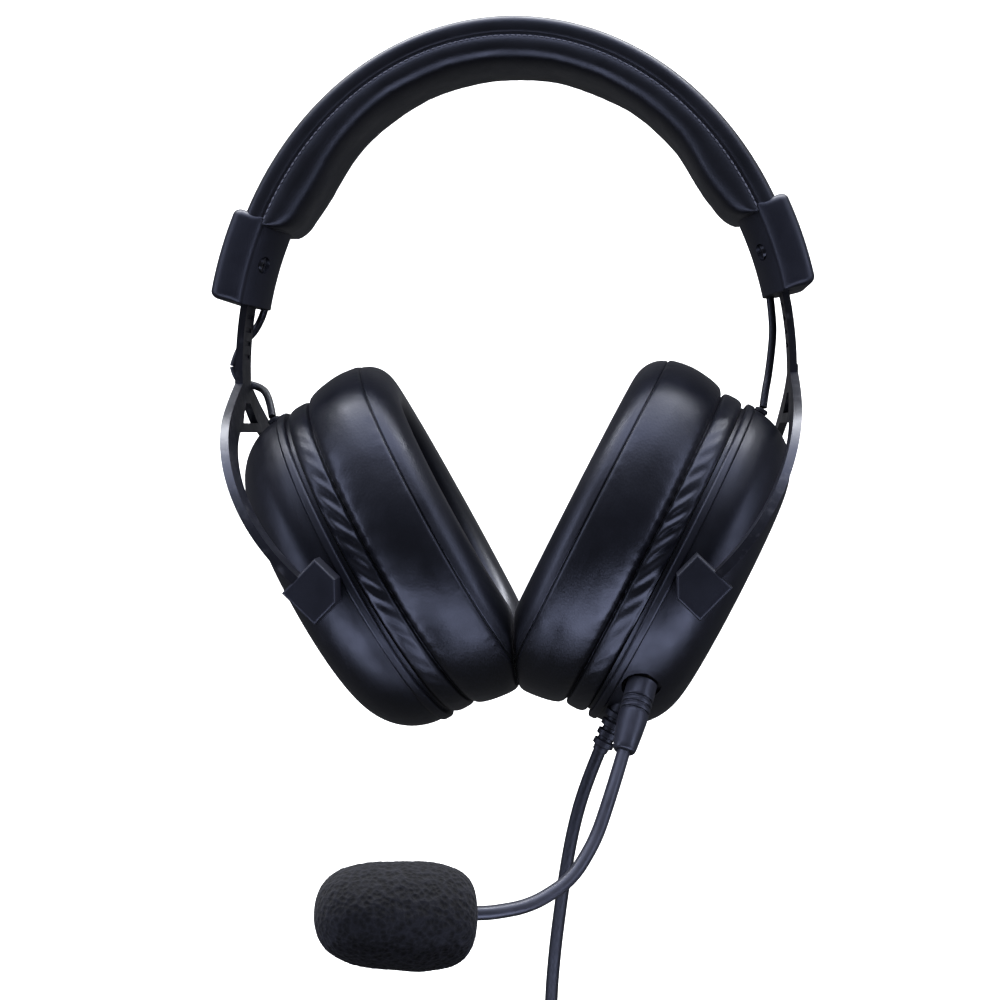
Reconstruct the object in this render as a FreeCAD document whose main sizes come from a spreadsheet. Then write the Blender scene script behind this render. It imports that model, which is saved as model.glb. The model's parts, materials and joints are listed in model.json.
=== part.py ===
"""Over-ear gaming headset: padded headband, two sliding yokes, two swivelling cups, a boom microphone and a cable.

Millimetres. X runs from the wearer's right cup to the left cup, Y from the face to the back of the head, Z up.
The origin is the middle of the headband cushion's underside, where the headset rests on a head.
The left side (+X) is modelled; the right side is its mirror image, apart from the microphone and cable.
"""

import FreeCAD, Part
import math
import os

from FreeCAD import Placement, Rotation, Vector

doc = FreeCAD.newDocument("gaming_headset")

# ---------------------------------------------------------------- driving dimensions

SIZES = {
    "band_half_width": 87.1,
    "band_rise": 102.6,
    "band_thickness": 14.0,
    "band_width": 35.0,
    "cover_depth": 5.5,
    "steel_top_depth": 2.6,
    "steel_thickness": 1.0,
    "steel_width": 27.0,
    "block_centre_x": -28.8,
    "block_centre_z": -87.7,
    "block_outer_radius": 118.9,
    "block_inner_radius": 104.4,
    "block_parting_radius": 109.3,
    "block_crown_radius": 25.0,
    "block_width": 36.0,
    "block_top_angle": 24.4,
    "block_sweep": 13.4,
    "block_wall": 1.8,
    "block_screw_angle": 17.6,
    "block_screw_offset": 10.0,
    "strip_outer_radius": 111.8,
    "strip_thickness": 2.1,
    "strip_width": 12.0,
    "strip_top_angle": 19.0,
    "detent_pitch": 4.0,
    "fork_centre_x": 7.3,
    "fork_centre_z": -90.0,
    "fork_outer_radius": 76.0,
    "fork_thickness": 2.4,
    "fork_sweep": 50.0,
    "arch_outer_radius": 52.0,
    "arch_inner_radius": 44.0,
    "cup_centre_x": 45.6,
    "cup_centre_z": -145.3,
    "cup_tilt": 27.9,
    "pivot_height": 7.5,
    "ring_long": 52.0,
    "ring_short": 43.0,
    "ring_half_height": 1.3,
    "shell_long": 51.3,
    "shell_short": 42.3,
    "shell_top": 20.5,
    "shell_round": 19.0,
    "shell_wall": 2.0,
    "pad_long": 53.3,
    "pad_short": 44.3,
    "pad_crown": 34.0,
    "pad_base": 2.4,
    "skirt_long": 51.6,
    "skirt_short": 42.4,
    "skirt_depth": 8.0,
    "ear_hole_long": 31.0,
    "ear_hole_short": 22.0,
    "pad_gap": 0.25,
    "driver_radius": 20.0,
    "pin_radius": 1.6,
    "pin_clearance": 0.05,
    "cap_length": 12.6,
    "cap_width": 13.2,
    "cap_depth": 8.6,
    "cap_inner_face": 43.5,
    "plug_radius": 1.75,
    "boom_radius": 1.9,
    "cable_radius": 1.9,
    "lead_radius": 1.2,
}

sheet = doc.addObject("Spreadsheet::Sheet", "sizes")
for row, (alias, value) in enumerate(SIZES.items(), start=1):
    sheet.set(f"A{row}", alias)
    sheet.set(f"B{row}", str(value))
    sheet.setAlias(f"B{row}", alias)
doc.recompute()


def size(alias):
    """A driving dimension, read back from the sheet."""
    return float(sheet.get(alias))


# ---------------------------------------------------------------- document helpers


def origin_plane(body, role):
    return next(f for f in body.Origin.OriginFeatures if f.Role == role)


def add_body(label, placement=None):
    body = doc.addObject("PartDesign::Body", label)
    body.Label = label
    if placement:
        body.Placement = placement
    return body


def add_sketch(body, role, edges, offset=0.0):
    """A sketch of the given edges on one of the body's own origin planes, moved along its normal."""
    sketch = body.newObject("Sketcher::SketchObject", f"{body.Name}_sketch")
    sketch.AttachmentSupport = (origin_plane(body, role), "")
    sketch.MapMode = "FlatFace"
    sketch.AttachmentOffset = Placement(Vector(0, 0, offset), Rotation())
    for edge in edges:
        sketch.addGeometry(edge, False)
    return sketch


def add_feature(body, kind, sketch, **settings):
    """A sketch-based feature; a value given as text is bound to the sheet as an expression."""
    feature = body.newObject(f"PartDesign::{kind}", f"{body.Name}_{kind.lower()}")
    feature.Profile = sketch
    for name, value in settings.items():
        if isinstance(value, str) and name in ("Length", "Angle"):
            feature.setExpression(name, value)
        else:
            setattr(feature, name, value)
    sketch.Visibility = False
    doc.recompute()
    return feature


def polygon(points):
    """Closed outline of straight edges through (x, y) pairs."""
    corners = [Vector(x, y, 0) for x, y in points]
    return [Part.LineSegment(a, b) for a, b in zip(corners, corners[1:] + corners[:1])]


def rectangle(width, depth):
    x, y = width / 2, depth / 2
    return polygon([(-x, -y), (x, -y), (x, y), (-x, y)])


def ellipse(half_long, half_short):
    """Ellipse about the sketch origin, long axis along the sketch's X."""
    return Part.Ellipse(Vector(half_long, 0, 0), Vector(0, half_short, 0), Vector(0, 0, 0))


def fillet(body, feature, chooser, radius):
    """Rounds the edges of a feature for which chooser(edge) is true."""
    names = [f"Edge{i}" for i, edge in enumerate(feature.Shape.Edges, start=1) if chooser(edge)]
    rounding = body.newObject("PartDesign::Fillet", f"{body.Name}_fillet")
    rounding.Base = (feature, names)
    if isinstance(radius, str):
        rounding.setExpression("Radius", radius)
    else:
        rounding.Radius = radius
    doc.recompute()
    return rounding


def flat_at(height):
    """Chooser for edges that lie wholly in the plane z = height."""
    return lambda edge: abs(edge.BoundBox.ZMin - height) < 1e-3 and abs(edge.BoundBox.ZMax - height) < 1e-3


def turned(label, profile, placement=None):
    """A body turned about its own Z axis from (radius, height) points."""
    body = add_body(label, placement)
    sketch = add_sketch(body, "XZ_Plane", polygon(profile))
    add_feature(body, "Revolution", sketch, ReferenceAxis=(sketch, ["V_Axis"]), Angle=360.0)
    return body


def boolean(kind, label, base, tool):
    result = doc.addObject(f"Part::{kind}", label)
    result.Label = label
    result.Base = base
    result.Tool = tool
    doc.recompute()
    return result


def cut(label, base, tool):
    return boolean("Cut", label, base, tool)


def fuse(label, *shapes):
    result = doc.addObject("Part::MultiFuse", label)
    result.Label = label
    result.Shapes = list(shapes)
    doc.recompute()
    return result


def rod(name, start, end, radius):
    """Cylinder from one point to another."""
    axis = end - start
    cylinder = doc.addObject("Part::Cylinder", name)
    cylinder.Radius = radius
    cylinder.Height = axis.Length
    cylinder.Placement = Placement(start, Rotation(Vector(0, 0, 1), axis))
    return cylinder


def along(start, direction):
    """Placement with its origin at start and its Z axis along direction."""
    return Placement(start, Rotation(Vector(0, 0, 1), direction))


def mirrored(label, source):
    """The wearer's right-hand twin of a left-hand part."""
    twin = doc.addObject("Part::Mirroring", label)
    twin.Label = label
    twin.Source = source
    twin.Base = Vector(0, 0, 0)
    twin.Normal = Vector(1, 0, 0)
    return twin


parts = {}


def keep(label, item):
    item.Label = label
    parts[label] = item
    return item


def keep_pair(name, item):
    """Keeps a left-hand part and its right-hand mirror image."""
    keep(f"left_{name}", item)
    keep(f"right_{name}", mirrored(f"right_{name}", item))
    return item


# ---------------------------------------------------------------- shared places

BLOCK_CENTRE = Vector(size("block_centre_x"), 0, size("block_centre_z"))
FORK_CENTRE = Vector(size("fork_centre_x"), 0, size("fork_centre_z"))
CUP_CENTRE = Vector(size("cup_centre_x"), 0, size("cup_centre_z"))
CUP_TILT = math.radians(size("cup_tilt"))
OUTWARD = Vector(math.cos(CUP_TILT), 0, -math.sin(CUP_TILT))
DOWN = Vector(-math.sin(CUP_TILT), 0, -math.cos(CUP_TILT))
CUP_FRAME = Placement(CUP_CENTRE, Rotation(Vector(0, 1, 0), 90 + size("cup_tilt")))
PIVOT = CUP_CENTRE + OUTWARD * size("pivot_height")
ELLIPSE_Z = size("band_thickness") - size("band_rise")


def in_cup(down, back, out):
    """World point from cup coordinates: down along the cup, back in Y, out from the baffle."""
    return CUP_CENTRE + DOWN * down + Vector(0, back, 0) + OUTWARD * out


def cup_body(label):
    """Body in the left cup's frame: X down the cup, Y back, Z outward; it follows the sheet's cup place."""
    body = add_body(label, CUP_FRAME)
    body.setExpression(".Placement.Base.x", "sizes.cup_centre_x")
    body.setExpression(".Placement.Base.z", "sizes.cup_centre_z")
    body.setExpression(".Placement.Rotation.Angle", "90 + sizes.cup_tilt")
    return body


def block_direction(angle):
    """Unit vector at an angle above horizontal, seen from the block's centre of curvature."""
    return Vector(math.cos(math.radians(angle)), 0, math.sin(math.radians(angle)))


def block_point(radius, angle, back=0.0):
    return BLOCK_CENTRE + block_direction(angle) * radius + Vector(0, back, 0)


# ---------------------------------------------------------------- headband


def end_parameter(half_width, rise, angle):
    """Ellipse parameter where the band's curve meets the ray at angle from the block centre."""
    low, high = 0.0, math.pi / 2
    for _ in range(60):
        middle = (low + high) / 2
        x = half_width * math.cos(middle) - BLOCK_CENTRE.x
        z = ELLIPSE_Z + rise * math.sin(middle) - BLOCK_CENTRE.z
        if math.degrees(math.atan2(z, x)) < angle:
            low = middle
        else:
            high = middle
    return low


def band_outline(outer_depth, inner_depth, angle, inner_rise_depth=None):
    """Closed outline between two nested half ellipses, ended by rays from the block centres."""
    curves = []
    ends = []
    rise_depths = (outer_depth, inner_depth if inner_rise_depth is None else inner_rise_depth)
    for depth, rise_depth in zip((outer_depth, inner_depth), rise_depths):
        half_width = size("band_half_width") - depth
        rise = size("band_rise") - rise_depth
        start = end_parameter(half_width, rise, angle)
        centre = Vector(0, ELLIPSE_Z, 0)
        if half_width > rise:
            curve = Part.Ellipse(centre + Vector(half_width, 0, 0), centre + Vector(0, rise, 0), centre)
            first, last = start, math.pi - start
        else:
            curve = Part.Ellipse(centre + Vector(0, rise, 0), centre + Vector(-half_width, 0, 0), centre)
            first, last = start - math.pi / 2, math.pi / 2 - start
        arc = Part.ArcOfEllipse(curve, first, last)
        curves.append(arc)
        ends.append((arc.StartPoint, arc.EndPoint))
    (outer_a, outer_b), (inner_a, inner_b) = ends
    return curves + [Part.LineSegment(outer_a, inner_a), Part.LineSegment(outer_b, inner_b)]


def band_piece(label, outline, width):
    """A band outline padded evenly to both sides of the wearer's mid plane."""
    body = add_body(label)
    sketch = add_sketch(body, "XZ_Plane", outline)
    add_feature(body, "Pad", sketch, Length=width, Midplane=True)
    return body


def build_headband():
    top = size("block_top_angle")
    cover_depth = size("cover_depth")
    steel_top = size("steel_top_depth")
    steel_bottom = steel_top + size("steel_thickness")
    channel_depth = cover_depth + 1.4
    channel_width = "sizes.steel_width + 1"

    blank = band_piece("cover_blank", band_outline(0, cover_depth, top + 0.1), "sizes.band_width")
    hollow = band_piece("cover_hollow", band_outline(steel_top, cover_depth + 0.5, top - 2), channel_width)
    cover = cut("headband_top_cover", blank, hollow)
    keep("headband_top_cover", cover)

    thickness = size("band_thickness")
    cushion_outline = band_outline(cover_depth, thickness + 0.5, top + 0.1, thickness)
    blank = band_piece("cushion_blank", cushion_outline, "sizes.band_width")
    hollow = band_piece("cushion_channel", band_outline(cover_depth - 0.5, channel_depth, top - 2), channel_width)
    keep("headband_cushion", cut("headband_cushion", blank, hollow))

    steel = band_piece("steel_strip", band_outline(steel_top, steel_bottom, 13.5), "sizes.steel_width")
    offset = size("block_screw_offset")
    holes = []
    for side in (1, -1):
        for back in (offset, -offset):
            start = block_point(108, size("block_screw_angle"), back)
            end = block_point(118, size("block_screw_angle"), back)
            start.x *= side
            end.x *= side
            holes.append(rod("steel_hole", start, end, 2.9))
    keep("headband_spring", cut("headband_spring", steel, fuse("steel_holes", *holes)))

    wire = band_piece("wire_ribbon", band_outline(cover_depth + 0.1, cover_depth + 1.1, top + 0.2), "4")
    wire.Placement = Placement(Vector(0, 10.8, 0), Rotation())
    keep("headband_wire", wire)


# ---------------------------------------------------------------- end blocks


def block_sector(label, edges, top_angle, sweep):
    """A profile of (radius, y) turned about the block's centre of curvature."""
    placement = Placement(BLOCK_CENTRE, Rotation(Vector(0, 1, 0), -top_angle))
    body = add_body(label, placement)
    sketch = add_sketch(body, "XY_Plane", edges)
    add_feature(body, "Revolution", sketch, ReferenceAxis=(sketch, ["V_Axis"]), Angle=sweep)
    return body


def crown_half_width(radius):
    """Half width of the block's crowned inner side at a distance from its centre of curvature."""
    crown = size("block_crown_radius")
    rise = size("block_inner_radius") + crown - radius
    return math.sqrt(crown**2 - rise**2)


def crown_arc(radius):
    half = crown_half_width(radius)
    bottom = Vector(size("block_inner_radius"), 0, 0)
    return Part.Arc(Vector(radius, -half, 0), bottom, Vector(radius, half, 0)), half


def build_blocks():
    outer = size("block_outer_radius")
    parting = size("block_parting_radius")
    half_width = size("block_width") / 2
    top = size("block_top_angle")
    sweep = "sizes.block_sweep"
    corner = 2.0
    crown = size("block_crown_radius")
    crown_centre = size("block_inner_radius") + crown
    side_start = crown_centre - math.sqrt(crown**2 - half_width**2)
    half_parting = crown_half_width(parting)

    # outer cover: flat outer side with rounded corners, flanks, and the upper part of the crown
    middle = 0.5 * (half_parting + half_width)
    shoulder = crown_centre - math.sqrt(crown**2 - middle**2)
    mid_corner = corner * (1 - math.sqrt(0.5))
    points = {
        sign: [
            Vector(parting, sign * half_parting, 0),
            Vector(shoulder, sign * middle, 0),
            Vector(side_start, sign * half_width, 0),
            Vector(outer - corner, sign * half_width, 0),
            Vector(outer - mid_corner, sign * (half_width - mid_corner), 0),
            Vector(outer, sign * (half_width - corner), 0),
        ]
        for sign in (1, -1)
    }
    edges = []
    for p in points.values():
        edges += [Part.Arc(p[0], p[1], p[2]), Part.LineSegment(p[2], p[3]), Part.Arc(p[3], p[4], p[5])]
    edges.append(Part.LineSegment(points[1][5], points[-1][5]))
    edges.append(Part.LineSegment(points[1][0], points[-1][0]))
    solid = block_sector("outer_cover_solid", edges, top, sweep)

    wall = size("block_wall")
    cavity_half = size("steel_width") / 2 + 0.8
    cavity_edges = polygon(
        [(parting - 1, -cavity_half), (outer - wall, -cavity_half), (outer - wall, cavity_half), (parting - 1, cavity_half)]
    )
    cavity = block_sector("outer_cover_cavity", cavity_edges, top + 1, f"{sweep} + 1 - 0.8")
    slot_half = size("strip_width") / 2 + 0.35
    slot_out = size("strip_outer_radius") + 0.25
    slot_edges = polygon([(parting - 1, -slot_half), (slot_out, -slot_half), (slot_out, slot_half), (parting - 1, slot_half)])
    slot = block_sector("outer_cover_slot", slot_edges, top - 8, f"{sweep} - 6")
    hollow = cut("outer_cover_hollow", solid, fuse("outer_cover_spaces", cavity, slot))

    bosses = []
    pilots = []
    screws = []
    counterbores = []
    angle = size("block_screw_angle")
    inward = block_direction(angle) * -1
    for back in (size("block_screw_offset"), -size("block_screw_offset")):
        seat = block_point(108.2, angle, back)
        bosses.append(rod("block_boss", block_point(parting + 0.1, angle, back), block_point(outer - 1.2, angle, back), 2.5))
        pilots.append(rod("block_pilot", block_point(100, angle, back), block_point(116, angle, back), 1.05))
        counterbores.append(rod("block_counterbore", block_point(100, angle, back), seat, 2.5))
        screws.append(screw("block_screw", seat, inward, head_radius=2.2, head_height=1.5, shank_radius=1.0, length=7.5))
    pilot_set = fuse("block_pilots", *pilots)
    cover = cut("left_block_outer", fuse("outer_cover_bossed", hollow, *bosses), pilot_set)
    keep_pair("block_outer", cover)

    # inner cover: the crown's middle, with a pocket for the detent spring and a notch for the lead
    arc, half = crown_arc(parting)
    lens = block_sector("inner_cover_solid", [arc, Part.LineSegment(arc.EndPoint, arc.StartPoint)], top, sweep)
    pocket_edges = polygon([(106.6, -4.6), (parting + 1, -4.6), (parting + 1, 4.6), (106.6, 4.6)])
    pocket = block_sector("inner_cover_pocket", pocket_edges, top - 1.6, "10.2")
    notch = rod("lead_notch", block_point(107.3, 9, 6.5), block_point(107.3, 14, 6.5), size("lead_radius") + 0.4)
    spaces = fuse("inner_cover_spaces", pocket, pilot_set, notch, *counterbores)
    keep_pair("block_inner", cut("left_block_inner", lens, spaces))
    keep_pair("block_screws", fuse("left_block_screws", *screws))

    # detent spring: a bowed steel leaf whose middle clicks into the strip's notches
    leaf_middle = top - 1.6 - 5.1
    outline = []
    for low, high in ((106.7, 109.2), (107.1, 109.6)):
        ends = [block_point(low, leaf_middle + a) for a in (-4.6, 4.6)]
        peak = block_point(high, leaf_middle)
        flat = [Vector(p.x, p.z, 0) for p in (ends[0], peak, ends[1])]
        outline.append(Part.Arc(*flat))
    outline.append(Part.LineSegment(outline[0].StartPoint, outline[1].StartPoint))
    outline.append(Part.LineSegment(outline[0].EndPoint, outline[1].EndPoint))
    leaf = add_body("left_detent_spring")
    sketch = add_sketch(leaf, "XZ_Plane", outline)
    add_feature(leaf, "Pad", sketch, Length=8.0, Midplane=True)
    keep_pair("detent_spring", leaf)


def screw(name, seat, outward, head_radius, head_height, shank_radius, length):
    """A pan-head screw: head outward of its seat, shank the other way, with a cross recess."""
    shank = rod(f"{name}_shank", seat + outward * 0.2, seat - outward * length, shank_radius)
    head = rod(f"{name}_head", seat, seat + outward * head_height, head_radius)
    blank = fuse(f"{name}_blank", shank, head)
    rotation = Rotation(Vector(0, 0, 1), outward)
    slots = []
    for length_x, length_y in ((2.6, 0.6), (0.6, 2.6)):
        slot = doc.addObject("Part::Box", f"{name}_slot")
        slot.Length = length_x
        slot.Width = length_y
        slot.Height = 1.2
        corner = rotation.multVec(Vector(-length_x / 2, -length_y / 2, head_height - 0.9))
        slot.Placement = Placement(seat + corner, rotation)
        slots.append(slot)
    return cut(name, blank, fuse(f"{name}_recess", *slots))


# ---------------------------------------------------------------- yokes, caps and pins


def tangent_point(x, y, centre_y, radius):
    """Where the tangent from (x, y) touches the circle about (0, centre_y), on the +x side."""
    dx, dy = x, y - centre_y
    distance = math.hypot(dx, dy)
    reach = math.atan2(dy, dx) - math.acos(radius / distance)
    return radius * math.cos(reach), centre_y + radius * math.sin(reach)


def build_yoke():
    strip_out = size("strip_outer_radius")
    strip_in = strip_out - size("strip_thickness")
    half = size("strip_width") / 2
    strip_edges = polygon([(strip_in, -half), (strip_out, -half), (strip_out, half), (strip_in, half)])
    strip = block_sector("strip_blank", strip_edges, size("strip_top_angle"), "sizes.strip_top_angle")

    # row of shallow detent grooves across the strip's inner face
    grooves = []
    pitch = math.degrees(size("detent_pitch") / strip_in)
    for index in range(8):
        angle = size("block_top_angle") - 6.7 - pitch * index
        start = block_point(strip_in - 0.35, angle, -3.6)
        grooves.append(rod("detent_groove", start, start + Vector(0, 7.2, 0), 0.8))

    outer = size("fork_outer_radius")
    inner = outer - size("fork_thickness")
    neck = doc.addObject("Part::Box", "yoke_neck")
    neck.Length = size("fork_thickness")
    neck.Width = 2 * half
    neck.Height = BLOCK_CENTRE.z - FORK_CENTRE.z
    neck.Placement = Placement(FORK_CENTRE + Vector(inner, -half, 0), Rotation())

    # curved plate about the fork's centre, trimmed to an arch seen from the side
    plate = add_body("fork_plate", Placement(FORK_CENTRE, Rotation()))
    reach = size("arch_outer_radius")
    plate_sketch = add_sketch(
        plate, "XY_Plane", polygon([(inner, -reach), (outer, -reach), (outer, reach), (inner, reach)])
    )
    add_feature(
        plate, "Revolution", plate_sketch, ReferenceAxis=(plate_sketch, ["V_Axis"]), Angle="sizes.fork_sweep"
    )

    top = FORK_CENTRE.z
    base = PIVOT.z + 3.5
    foot = base - 1
    touch_x, touch_y = tangent_point(half, top, base, reach)
    arch_in = size("arch_inner_radius")
    web_bottom = -104.6
    web_x = math.sqrt(arch_in**2 - (web_bottom - base) ** 2)
    diagonal = math.sqrt(0.5)
    lean = math.atan2(touch_y - base, touch_x) / 2
    edges = [
        Part.LineSegment(Vector(-half, top, 0), Vector(half, top, 0)),
        Part.LineSegment(Vector(-web_x, web_bottom, 0), Vector(web_x, web_bottom, 0)),
    ]
    for sign in (1, -1):
        outer_middle = Vector(sign * reach * math.cos(lean), base + reach * math.sin(lean), 0)
        inner_middle = Vector(sign * arch_in * diagonal, base + arch_in * diagonal, 0)
        edges += [
            Part.LineSegment(Vector(sign * half, top, 0), Vector(sign * touch_x, touch_y, 0)),
            Part.Arc(Vector(sign * touch_x, touch_y, 0), outer_middle, Vector(sign * reach, base, 0)),
            Part.LineSegment(Vector(sign * reach, base, 0), Vector(sign * reach, foot, 0)),
            Part.LineSegment(Vector(sign * reach, foot, 0), Vector(sign * arch_in, foot, 0)),
            Part.LineSegment(Vector(sign * arch_in, foot, 0), Vector(sign * arch_in, base, 0)),
            Part.Arc(Vector(sign * arch_in, base, 0), inner_middle, Vector(sign * web_x, web_bottom, 0)),
        ]
    window = polygon([(-3.0, -95.8), (3.0, -95.8), (10.0, -101.8), (-10.0, -101.8)])
    arch = add_body("fork_arch")
    arch_sketch = add_sketch(arch, "YZ_Plane", edges + window)
    add_feature(arch, "Pad", arch_sketch, Length="sizes.fork_centre_x + sizes.fork_outer_radius + 10")
    fork = boolean("Common", "fork_trimmed", plate, arch)
    yoke = cut("left_yoke", fuse("yoke_blank", strip, neck, fork), fuse("detent_grooves", *grooves))
    keep_pair("yoke", yoke)
    return yoke


def build_pivots(yoke):
    """Pivot caps over the fork's feet, and the shouldered pins on which the cup swivels."""
    length = size("cap_length")
    width = size("cap_width")
    face = size("cap_inner_face")
    depth = size("cap_depth")
    chamfer = 4.6
    lean = Rotation(Vector(0, 1, 0), -45)
    outline = polygon(
        [
            (-length / 2, -width / 2),
            (length / 2, -width / 2),
            (length / 2, width / 2),
            (-length / 2 + chamfer, width / 2),
            (-length / 2, width / 2 - chamfer),
        ]
    )
    for name, sign in (("front", -1), ("rear", 1)):
        cap = add_body(f"cap_{name}_blank", Placement(PIVOT, lean))
        sketch = add_sketch(cap, "XZ_Plane", outline)
        # the XZ plane's normal points to -Y
        sketch.AttachmentOffset = Placement(Vector(0, 0, -sign * face), Rotation())
        block = add_feature(cap, "Pad", sketch, Length="sizes.cap_depth", Reversed=sign > 0)
        outside = sign * (face + depth)

        def on_rim(edge, level=outside):
            return abs(edge.BoundBox.YMin - level) < 1e-3 and abs(edge.BoundBox.YMax - level) < 1e-3

        fillet(cap, block, on_rim, 0.8)
        hole = rod("cap_hole", PIVOT + Vector(0, sign * (face - 1), 0), PIVOT + Vector(0, sign * (face + 6), 0), 1.6)
        keep_pair(f"pivot_cap_{name}", cut(f"left_pivot_cap_{name}", cap, fuse("cap_spaces", yoke, hole)))

        head_inner = 35.6
        profile = [
            (0, head_inner),
            (2.6, head_inner),
            (2.6, head_inner + 1.2),
            (size("pin_radius"), head_inner + 1.2),
            (size("pin_radius"), face + 6),
            (0, face + 6),
        ]
        pin = turned(f"left_pivot_pin_{name}", profile, along(PIVOT, Vector(0, sign, 0)))
        keep_pair(f"pivot_pin_{name}", pin)


# ---------------------------------------------------------------- cups

CUP_SCREWS = [(32, 19), (32, -19), (-32, 19), (-32, -19)]
MIC_MOUTH = in_cup(34.6, -31.0, 7.5)
MIC_AXIS = Vector(-0.25, -0.55, -0.80).normalize()
RELIEF_DOWN, RELIEF_BACK, RELIEF_OUT = 43.5, -22.0, 5.6
LEAD_OUT = 3.4
LEAD_TOP = 51.1


def build_shell():
    wall = size("shell_wall")
    low = size("ring_half_height")
    top = size("shell_top")
    outer = cup_body("shell_solid")
    sketch = add_sketch(outer, "XY_Plane", [ellipse(size("shell_long"), size("shell_short"))], low)
    dome = add_feature(outer, "Pad", sketch, Length="sizes.shell_top - sizes.ring_half_height")
    fillet(outer, dome, flat_at(top), "sizes.shell_round")

    # cavity in three steps that follow the dome
    steps = []
    for inset, start, end in ((wall, low - 1, 6.5), (5.2, 6.4, 12.5), (10.0, 12.4, 17.0)):
        step = cup_body("shell_space_step")
        inside = [ellipse(size("shell_long") - inset, size("shell_short") - inset)]
        sketch = add_sketch(step, "XY_Plane", inside, start)
        add_feature(step, "Pad", sketch, Length=end - start)
        steps.append(step)
    skin = cut("shell_skin", outer, fuse("shell_space", *steps))

    posts = [rod("shell_post", in_cup(x, y, low + 0.1), in_cup(x, y, 17.1), 2.6) for x, y in CUP_SCREWS]
    pilots = [rod("shell_pilot", in_cup(x, y, 0), in_cup(x, y, 11), 0.95) for x, y in CUP_SCREWS]
    for sign in (1, -1):
        near, far = PIVOT + Vector(0, sign * 37.0, 0), PIVOT + Vector(0, sign * 42.9, 0)
        posts.append(rod("pivot_boss", near, far, 4.2))
        bore = size("pin_radius") + size("pin_clearance")
        pilots.append(rod("pivot_bore", PIVOT + Vector(0, sign * 36, 0), PIVOT + Vector(0, sign * 44, 0), bore))
        # room for the pin's head behind the boss
        pilots.append(rod("pin_room", PIVOT + Vector(0, sign * 34, 0), PIVOT + Vector(0, sign * 36.9, 0), 2.9))
    lead_hole = rod("lead_hole", in_cup(-LEAD_TOP - 4, 0, LEAD_OUT), in_cup(-44, 0, LEAD_OUT), 1.9)
    common_solid = fuse("shell_common", skin, *posts)
    plain = cut("shell_plain", common_solid, fuse("shell_holes", *pilots, lead_hole))
    keep("right_cup_shell", mirrored("right_cup_shell", plain))

    # left shell: socket boss for the microphone and opening for the strain relief
    socket = rod("socket_boss", MIC_MOUTH - MIC_AXIS * 12.5, MIC_MOUTH + MIC_AXIS * 4, 6.7)
    inside_only = boolean("Common", "socket_boss_trimmed", socket, outer)
    recess = rod("socket_recess", MIC_MOUTH - MIC_AXIS * 3.0, MIC_MOUTH + MIC_AXIS * 16, 5.5)
    jack_bore = rod("jack_bore", MIC_MOUTH - MIC_AXIS * 14, MIC_MOUTH, 3.5)
    neck = rod("relief_bore", relief_point(-7.5), relief_point(6), 3.0)
    seat = rod("relief_seat", relief_point(0.6), relief_point(8), 3.9)
    left = cut("left_cup_shell", fuse("shell_with_socket", plain, inside_only), fuse("socket_spaces", recess, jack_bore, neck, seat))
    keep("left_cup_shell", left)


def relief_point(distance):
    """Point on the strain relief's axis, measured outward from the shell's surface."""
    return in_cup(RELIEF_DOWN + distance, RELIEF_BACK, RELIEF_OUT)


def build_baffle():
    half = size("ring_half_height")
    rim = cup_body("baffle_rim")
    sketch = add_sketch(rim, "XY_Plane", [ellipse(size("ring_long"), size("ring_short"))], -half)
    plate = add_feature(rim, "Pad", sketch, Length="2 * sizes.ring_half_height")
    fillet(rim, plate, lambda e: flat_at(half)(e) or flat_at(-half)(e), 0.7)
    collar = cup_body("baffle_collar")
    sketch = add_sketch(collar, "XY_Plane", [ellipse(50.0, 41.0)], -size("pad_base") + 0.05)
    add_feature(collar, "Pad", sketch, Length=2.0)
    driver = size("driver_radius")
    spaces = [
        rod("sound_hole", in_cup(0, 0, -4), in_cup(0, 0, 2), driver - 2),
        rod("driver_seat", in_cup(0, 0, -0.3), in_cup(0, 0, 3), driver + 0.15),
    ]
    for x, y in CUP_SCREWS:
        spaces.append(rod("screw_hole", in_cup(x, y, -4), in_cup(x, y, 3), 1.15))
        spaces.append(rod("screw_seat", in_cup(x, y, -4), in_cup(x, y, -0.8), 2.4))
    keep_pair("baffle", cut("left_baffle", fuse("baffle_blank", rim, collar), fuse("baffle_spaces", *spaces)))

    screws = [
        screw("cup_screw", in_cup(x, y, -0.8), OUTWARD * -1, head_radius=2.1, head_height=1.4, shank_radius=0.9, length=9.0)
        for x, y in CUP_SCREWS
    ]
    keep_pair("cup_screws", fuse("left_cup_screws", *screws))


def build_driver():
    frame = [(17, -0.25), (20, -0.25), (20, 1.25), (18.4, 1.25), (13, 5.2), (3.2, 5.2), (3.2, 4.2), (12.5, 4.2), (17, 0.9)]
    keep_pair("driver_frame", turned("left_driver_frame", frame, CUP_FRAME))
    keep_pair("driver_magnet", turned("left_driver_magnet", [(2.5, 5.2), (11.5, 5.2), (11.5, 9.8), (2.5, 9.8)], CUP_FRAME))
    cone = [(0, -1.6), (4, -1.3), (7.5, 0.2), (12, -0.7), (16.9, 0.2), (16.9, 0.5), (12, -0.4), (7.5, 0.6), (4, -0.9), (0, -1.2)]
    keep_pair("driver_diaphragm", turned("left_driver_diaphragm", cone, CUP_FRAME))

    scrim = cup_body("left_ear_scrim")
    outline = [ellipse(size("ear_hole_long") - 0.4, size("ear_hole_short") - 0.4)]
    sketch = add_sketch(scrim, "XY_Plane", outline, -size("pad_base") - 0.6)
    add_feature(scrim, "Pad", sketch, Length=0.6)
    keep_pair("ear_scrim", scrim)


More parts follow.
